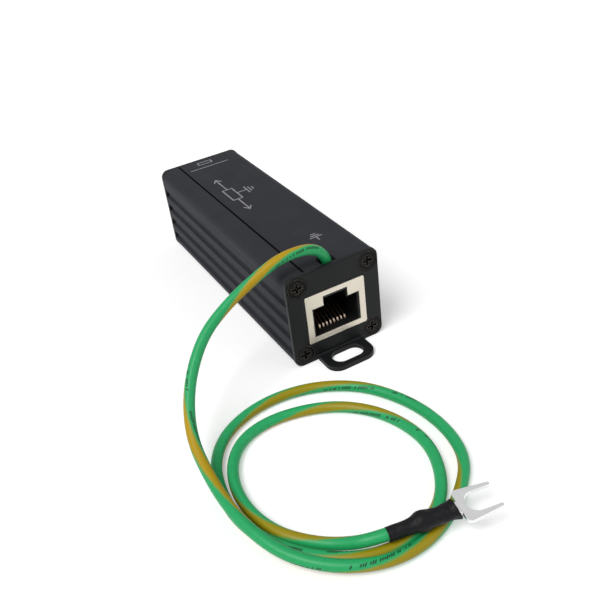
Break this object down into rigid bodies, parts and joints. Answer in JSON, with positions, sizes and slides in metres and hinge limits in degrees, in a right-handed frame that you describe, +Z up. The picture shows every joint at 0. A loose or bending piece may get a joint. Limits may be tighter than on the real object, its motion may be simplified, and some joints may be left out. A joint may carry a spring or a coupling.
{
  "type": "ethernet surge protector",
  "caption": "In-line surge protector for network cable: ribbed square metal case, a shielded socket and slotted ear at each end, and a loose green and yellow earth lead with a fork terminal.",
  "frame": {"origin": "under the middle of the case, on the surface that it stands on", "axes": "+Z up, Y along the case with the end where the lead comes out at -Y, X across"},
  "size_m": [0.0597, 0.1494, 0.0314],
  "materials": {
    "black_anodised_aluminium": "fine blasted, black anodised",
    "black_powder_coated_steel": "satin black coat",
    "black_oxide_steel": "black oxide, slightly oily",
    "nickel_plated_shield": "satin nickel plate",
    "black_moulded_plastic": "matt black",
    "gold_plated_contacts": "gold flash",
    "green_board": "green solder mask",
    "clear_film": "translucent film",
    "chip_ceramic": "black glazed ceramic",
    "tube_ceramic": "white ceramic with tinned caps",
    "diode_body": "moulded epoxy",
    "tinned_copper": "bright tin",
    "lead_insulation": "green and yellow soft plastic",
    "heat_shrink": "satin black",
    "tin_plated_fork": "bright tin plate"
  },
  "bodies": {
    "root": {"case_extrusion": "black_anodised_aluminium", "front_end_plate": "black_powder_coated_steel", "rear_end_plate": "black_powder_coated_steel", "front_plate_screws": "black_oxide_steel", "rear_plate_screws": "black_oxide_steel", "front_jack_shield": "nickel_plated_shield", "rear_jack_shield": "nickel_plated_shield", "front_jack_insulator": "black_moulded_plastic", "rear_jack_insulator": "black_moulded_plastic", "front_jack_contacts": "gold_plated_contacts", "rear_jack_contacts": "gold_plated_contacts", "circuit_board": "green_board", "insulating_film": "clear_film", "chip_resistors": "chip_ceramic", "gas_tube_1": "tube_ceramic", "gas_tube_2": "tube_ceramic", "gas_tube_3": "tube_ceramic", "gas_tube_4": "tube_ceramic", "clamp_diode_1": "diode_body", "clamp_diode_2": "diode_body", "clamp_diode_3": "diode_body", "clamp_diode_4": "diode_body", "clamp_diode_leads": "tinned_copper", "earth_lead_core": "tinned_copper", "earth_lead": "lead_insulation", "crimped_strands": "tinned_copper", "heat_shrink_sleeve": "heat_shrink", "fork_terminal": "tin_plated_fork"}
  },
  "joints": []
}
